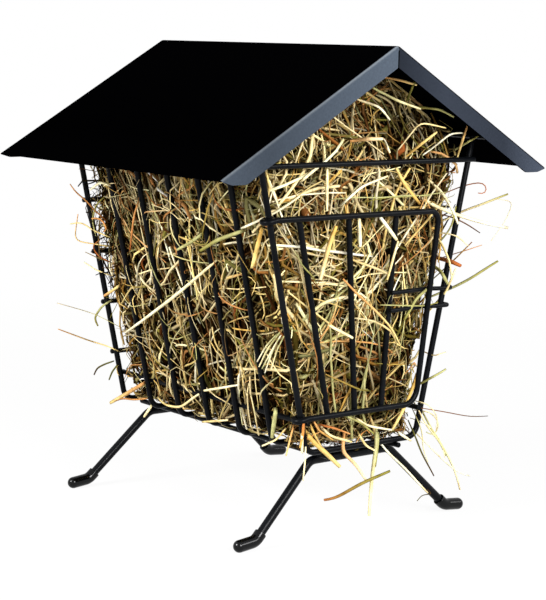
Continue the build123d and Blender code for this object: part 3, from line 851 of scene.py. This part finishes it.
DOOR_STRAYS = {
    "white cream straw": (2.0, WHITE, CREAM, [(380, 217), (388, 228), (397, 240)]),
    "grey sage blade": (1.7, SAGE, OLIVE, [(433, 284), (425, 291), (416, 298), (411, 308), (404, 320)]),
    "level sage fibre": (0.8, SAGE, OLIVE, [(380, 305), (422, 306), (433, 305), (438, 302)]),
    "cream straw": (1.6, CREAM, CREAM, [(328, 325), (353, 338)]),
    "long tan straw": (1.2, TAN, STRAW, [(343, 279), (359, 296), (371, 306), (392, 328), (400, 345)]),
    "gold blade over the bottom wire": (2.0, GOLD, STRAW, [(417, 373), (414, 385), (403, 410), (392, 430)]),
    "broad cream blade": (2.2, CREAM, WHITE, [(359, 218), (360, 247)]),
    "gold cream blade": (2.4, GOLD, CREAM, [(336, 226), (330, 242), (320, 280)]),
    "cream straw by the last bar": (1.4, CREAM, STRAW, [(398, 241), (387, 280)]),
}


def view_line(route):
    """The view places of a route, evenly spread along it, as directions from the view's place. Its
    corners are rounded by taking the mean of each place and its neighbours, three times."""
    route = np.array(route, float)
    steps = np.linalg.norm(np.diff(route, axis=0), axis=1)
    run = np.concatenate([[0], np.cumsum(steps)]) / steps.sum()
    along = np.linspace(0, 1, STRAY_POINTS)
    places = np.stack([np.interp(along, run, route[:, 0]), np.interp(along, run, route[:, 1])], -1)
    for _ in range(3):
        places[1:-1] = (places[:-2] + 2 * places[1:-1] + places[2:]) / 4
    right, up, back = (np.array(axis) for axis in view_axes())
    sideways = (places[:, :1] - VIEW_MIDDLE[0]) / VIEW_FOCAL
    downwards = (places[:, 1:] - VIEW_MIDDLE[1]) / VIEW_FOCAL
    return right * sideways - up * downwards - back


def out_of_hay(inside, outside, quick=0.25):
    """Depth from root to tip: it starts inside and has reached outside after the quick share of the
    stalk."""
    part = share(np.linspace(0, 1, STRAY_POINTS), quick)
    return inside + (outside - inside) * part * part * (3 - 2 * part)


def on_left_wires(way, depth):
    """Where sight lines meet the left side's leaning plane, depth outside the wires' middle: less near
    the front hoop, where the open door folds back, and more behind the rear end, so that no stalk
    reaches past the roof. The depth follows from the point, so both are worked out in turn, 6 times."""
    start = np.array(VIEW_FROM)
    for _ in range(6):
        gap = start[1] + side_offset(start[2]) + depth
        points = start + way * (-gap / (way[:, 1] + way[:, 2] * SIDE_LEAN))[:, None]
        depth = np.minimum(depth, (FRONT_HOOP - points[:, 0]) * DOOR_FOLD - DOOR_CLEARANCE)
        depth = depth + np.clip(-STRAY_END - points[:, 0], 0, None) * STRAY_PUSH
    return points


def across_front(way, depth):
    """Where sight lines meet the level x = depth."""
    start = np.array(VIEW_FROM)
    return start + way * ((depth - start[0]) / way[:, 0])[:, None]


def place_strays(rng, name, body, bunches, material):
    """One piece of single stalks, each of them carried along the sight lines of its route onto its
    surface."""
    lines, widths, roots, tips = [], [], [], []
    for strays, surface_at, depth in bunches:
        for width, root, tip, route in strays.values():
            lines.append(surface_at(view_line(route), depth))
            widths.append(width)
            roots.append(root)
            tips.append(tip)
    lines, widths, roots, tips = np.array(lines), np.array(widths), np.array(roots), np.array(tips)
    lines[..., 2] = np.maximum(lines[..., 2], STRAY_FLOOR)
    facing = unit(np.array(VIEW_FROM) - lines.mean(1))
    count = len(widths)
    add_stalks(rng, name, body, lines, widths, widths * 0.45, facing, turn=rng.normal(size=count) * 0.5,
               pointed=np.full(count, 0.35), root_tint=roots, tip_tint=tips, material=material)


def over_side(lines, side):
    """Stalks woven over the side wires: they start and end inside and arch over the wires by a half
    sine, less where the open door folds back."""
    x, z = lines[..., 0], lines[..., 2]
    arch = OVER_WIRES * np.sin(np.pi * np.linspace(0, 1, STALK_POINTS)) - HAY_BEHIND_WIRES
    arch = np.minimum(arch, (FRONT_HOOP - x) * DOOR_FOLD - DOOR_CLEARANCE - WOVEN["width"][1])
    return np.stack([x, side * (side_offset(z) + arch), z], -1)


def over_door(lines):
    """Stalks woven over the door's bars: they arch from behind the bars to their front by a half sine."""
    z = np.clip(lines[..., 2], DOOR_LOW, DOOR_HIGH)
    half = side_offset(z) - DOOR_EDGE
    front = BEHIND_DOOR + OVER_BARS * np.sin(np.pi * np.linspace(0, 1, STALK_POINTS))
    return np.stack([np.broadcast_to(front, z.shape), np.clip(lines[..., 1], -half, half), z], -1)


def weave(rng, name, body, material, count, low, high, half, level, shape):
    """Single stalks over a face of wires, from low to high. level is the way along the face, half the
    reach to each side of its middle; shape puts them onto the wires."""
    level = np.array(level)
    upward = np.array((0.0, 0.0, 1.0))
    middle = level * rng.uniform(-half, half, (count, 1)) + upward * rng.uniform(low, high, (count, 1))
    angle = rng.uniform(0, np.pi, (count, 1))
    heading = level * np.cos(angle) + upward * np.sin(angle)
    facing = np.broadcast_to(np.cross(level, upward), heading.shape)
    lines = shape(hay_lines(rng, middle, heading, facing, rng.uniform(*WOVEN["length"], count),
                            WOVEN["bow"] * rng.normal(size=count), WOVEN["wander"], WOVEN["broken"]))
    width = stalk_widths(rng, WOVEN, count)
    shade = rng.uniform(0.55, 1.0, (count, 1))
    root, tip = (pick(rng, WOVEN["tints"], count) * shade for _ in range(2))
    add_stalks(rng, name, body, lines, width, width * 0.4, facing, turn=rng.normal(size=count) * 0.6,
               pointed=np.full(count, WOVEN["pointed"]), root_tint=root, tip_tint=tip, material=material)


# ---------------------------------------------------------------- the looks of hay

def streak_group():
    """Lengthwise ribs on the stalk's own run, and blotches of darker and paler skin."""
    group, inp, out = group_with("dry_streaks", [("Blotch Scale", "NodeSocketFloat", 160.0)],
                                 [("Colour", "NodeSocketColor"), ("Ribs", "NodeSocketFloat")])
    run = add_node(group, "UVMap", uv_map="stalk_run").outputs["UV"]
    stretch = add_node(group, "Mapping", {"Vector": run, "Scale": (9.0, 0.9, 1.0)}).outputs["Vector"]
    ribs = noise(group, stretch, scale=2.0, detail=4.0)
    place = add_node(group, "TexCoord").outputs["Object"]
    blotch = noise(group, place, inp["Blotch Scale"], detail=3.0)
    skin = [(0.12, (0.46, 0.37, 0.26)), (0.23, (0.84, 0.80, 0.72)), (0.38, (1.0, 1.0, 1.0))]
    colour = colour_ramp(group, maths(group, "MULTIPLY", ribs, blotch), skin)
    feed(group, out, {"Colour": colour, "Ribs": ribs})
    return group


def stalk_material():
    """Dry stalks: their own colour with lengthwise streaks, ribs that catch the light and a dull
    gloss."""
    material, tree = new_material("dry_hay")
    tint = add_node(tree, "Attribute", attribute_name="tint").outputs["Color"]
    streaks = add_node(tree, "Group", node_tree=streak_group()).outputs
    roughness = value_range(tree, streaks["Ribs"], 0.42, 0.68)
    shader = surface(tree, roughness, specular=0.02, height=streaks["Ribs"], bump_strength=0.5,
                     bump_distance=0.0002)
    feed(tree, shader, {"Base Color": blend(tree, 0.85, tint, streaks["Colour"], "MULTIPLY")})
    return material


def shade_core_material():
    """The matted hay deep inside, with paler threads; its near-black browns are painted shade, seen in the
    gaps between the stalks.
    """
    material, tree = new_material("matted_hay_painted_shade")
    place = add_node(tree, "TexCoord").outputs["Object"]
    stretch = add_node(tree, "Mapping", {"Vector": place, "Scale": (420.0, 420.0, 110.0)}).outputs["Vector"]
    threads = noise(tree, stretch, scale=1.0, detail=6.0, Distortion=1.4)
    roughness = value_range(tree, threads, 0.75, 0.95)
    shader = surface(tree, roughness, specular=0.0, height=threads, bump_strength=0.9, bump_distance=0.002)
    shade_browns = [(0.36, srgb(4, 2, 1)), (0.5, srgb(16, 9, 3)), (0.68, srgb(50, 30, 10))]
    feed(tree, shader, {"Base Color": colour_ramp(tree, threads, shade_browns)})
    return material


# ---------------------------------------------------------------- hay in the feeder

def hay_core():
    """The dense middle of the hay, a dark body whose colour is painted shade for the gaps between stalks: a
    rounded rectangle in plan, 8th powers, that follows the wires and the roof at 0.9 of the hay's width, with
    lumps as a few crossed sine waves. It widens from a point by the square root of the height over its lowest
    3 percent, and closes to one the same way over its highest 2 percent."""
    angle = np.linspace(0, 2 * np.pi, CORE_TURNS, endpoint=False)
    height = np.linspace(0, 1, CORE_LEVELS)
    low = HAY_FLOOR + CORE_ABOVE_FLOOR
    z = low + (ROOF_UNDERSIDE - CORE_BELOW_ROOF - HAY_FLOOR - CORE_ABOVE_FLOOR) * height
    fill = np.clip(np.minimum(height / 0.03, (1 - height) / 0.02), 0, 1) ** 0.5
    fill[[0, -1]] = 0
    power = 2 / HAY_CORNER
    cos, sin = np.cos(angle), np.sin(angle)
    plan_x = np.sign(cos) * np.abs(cos) ** power
    plan_y = np.sign(sin) * np.abs(sin) ** power
    half = hay_half_width(z) * CORE_SHARE
    x = plan_x[None] * ((HAY_END * CORE_SHARE - top_setback(z)) * fill)[:, None]
    y = plan_y[None] * (half * fill)[:, None]
    z = np.broadcast_to(z[:, None], x.shape)
    lump = 1 + 0.016 * (np.sin(x * 0.21 + z * 0.13) + np.sin(y * 0.27 - z * 0.19 + 1.3)
                        + np.sin(z * 0.33 + x * 0.11))
    rings = np.stack([x * lump, y * lump, z], -1)[1:-1]
    poles = [(0, 0, z[0, 0]), (0, 0, z[-1, 0])]
    vertices = np.concatenate([rings.reshape(-1, 3), poles]) * MM
    grid = np.arange((CORE_LEVELS - 2) * CORE_TURNS).reshape(CORE_LEVELS - 2, CORE_TURNS)
    around = np.roll(grid, -1, 1)
    walls = np.stack([grid[:-1], around[:-1], around[1:], grid[1:]], -1).reshape(-1, 4)
    bottom, top = np.full(CORE_TURNS, grid.size), np.full(CORE_TURNS, grid.size + 1)
    under = np.stack([around[0], grid[0], bottom], -1)
    over = np.stack([grid[-1], around[-1], top], -1)
    mesh = bpy.data.meshes.new("hay_core")
    mesh.from_pydata(vertices.tolist(), [], walls.tolist() + under.tolist() + over.tolist())
    mesh.polygons.foreach_set("use_smooth", np.ones(len(mesh.polygons), bool))
    mesh.materials.append(shade_core_material())
    core = bpy.data.objects.new("hay_core", mesh)
    scene.collection.objects.link(core)
    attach(core, "hopper")


# Shells of hay: name, kind, wisps, reach as shares of the half width, upright share, and how far stalks
# point out
SHELLS = [("hay_stems", STEMS, 560, (0.80, 1.0), 0.35, 0.20),
          ("hay_blades", BLADES, 1250, (0.76, 1.0), 0.4, 0.20),
          ("hay_fibres", FIBRES, 850, (0.78, 1.02), 0.25, 0.25),
          ("hay_flakes", FLAKES, 500, (0.78, 0.98), 0.4, 0.20),
          ("hay_straws", STRAWS, 420, (0.95, 1.02), 0.35, 0.15),
          ("hay_fuzz", FUZZ, 420, (0.94, 1.04), 0.3, 0.9)]

# Upright edges: name, kind, wisps, lowest place (mm), corners as end and side, and how far stalks point
# out
EVERY_CORNER = [(-1, -1), (-1, 1), (1, -1), (1, 1)]
CORNERS = [("hay_corner_blades", BLADES, 340, CORNER_HAY_FROM, EVERY_CORNER, 0.15),
           ("hay_corner_stems", STEMS, 160, CORNER_HAY_FROM, EVERY_CORNER, 0.15),
           ("hay_corner_fuzz", CORNER_FUZZ, 150, CORNER_FUZZ_FROM, [(1, 1), (-1, -1)], 0.9)]

# The bottom: name, kind, wisps and rearmost place (mm). The ridge: name, kind and wisps
BOTTOMS = [("hay_bottom_stems", STEMS, 170, -HAY_END), ("hay_bottom_fibres", FIBRES, 260, -HAY_END),
           ("hay_front_foot", FUZZ, 260, FOOT_HAY_FROM)]
RIDGES = [("hay_ridge_fibres", FIBRES, 460), ("hay_ridge_stems", STEMS, 90)]

# Stray stalks: which, where their sight lines end, and the depth there from root to tip (mm)
HOPPER_STRAYS = [(LEFT_STRAYS, on_left_wires, out_of_hay(-2.0, 3.8, 0.12)),
                 (CORNER_STRAYS, across_front, out_of_hay(72.0, 78.5)),
                 (LOW_STRAYS, across_front, out_of_hay(76.0, 86.5)),
                 (CAUGHT_STRAYS, across_front, out_of_hay(87.5, 87.5)),
                 (RIGHT_STRAYS, across_front, out_of_hay(72.0, 91.0, 0.8)),
                 (GABLE_STRAYS, across_front, out_of_hay(80.0, 92.0, 0.7)),
                 (OVER_DOOR_STRAYS, across_front, out_of_hay(78.0, 84.5, 0.15))]
ON_DOOR_STRAYS = [(DOOR_STRAYS, across_front, out_of_hay(84.6, 84.6))]


def fill_with_hay():
    """Hay from the dark middle outwards, whose darkness is painted shade: stems, blades, fibres and flakes
    pressed behind the wires, paler straws over them, fuller corners, bottom and ridge, and the single stalks
    that stick out."""
    rng = np.random.default_rng(SEED)
    hay_core()
    dry = stalk_material()
    for name, kind, count, shell, upright, out_share in SHELLS:
        middle, outward, depth = hay_places(rng, count, shell)
        grow(rng, name, kind, middle, outward, depth, headings(rng, outward, upright, out_share), dry)
    for name, kind, count, low, corners, out_share in CORNERS:
        middle, outward, depth = corner_places(rng, count, low, corners)
        grow(rng, name, kind, middle, outward, depth, headings(rng, outward, 0.6, out_share), dry)
    for name, kind, count, rear in BOTTOMS:
        middle, outward, depth = bottom_places(rng, count, rear)
        grow(rng, name, kind, middle, outward, depth, headings(rng, outward, 0.2, 0.2), dry)
    for name, side in (("left", -1), ("right", 1)):
        weave(rng, f"hay_over_{name}_wires", "hopper", dry, count=60, low=OVER_WIRES_LOW,
              high=OVER_WIRES_HIGH, half=OVER_WIRES_REACH, level=(1.0, 0.0, 0.0),
              shape=partial(over_side, side=side))
    weave(rng, "hay_woven_in_door", "door", dry, count=20, low=DOOR_LOW, high=DOOR_HIGH, half=DOOR_REACH,
          level=(0.0, 1.0, 0.0), shape=over_door)
    place_strays(rng, "hay_strays", "hopper", HOPPER_STRAYS, dry)
    place_strays(rng, "hay_on_door", "door", ON_DOOR_STRAYS, dry)
    for name, kind, count in RIDGES:
        middle, outward, depth = ridge_places(rng, count)
        grow(rng, name, kind, middle, outward, depth, headings(rng, outward, 0.25, 0.2), dry)


add_camera()
add_world()
add_floor()
add_softbox("front_softbox", (0.95, -0.12, 0.50), width=0.36, height=0.36, power=12.4)
add_softbox("left_softbox", (-0.10, -0.95, 0.60), width=0.40, height=0.40, power=17.8)
add_softbox("right_strip", (0.76, 0.50, 0.50), width=0.70, height=0.22, power=6.6)
paint_wires_and_roof()
fill_with_hay()
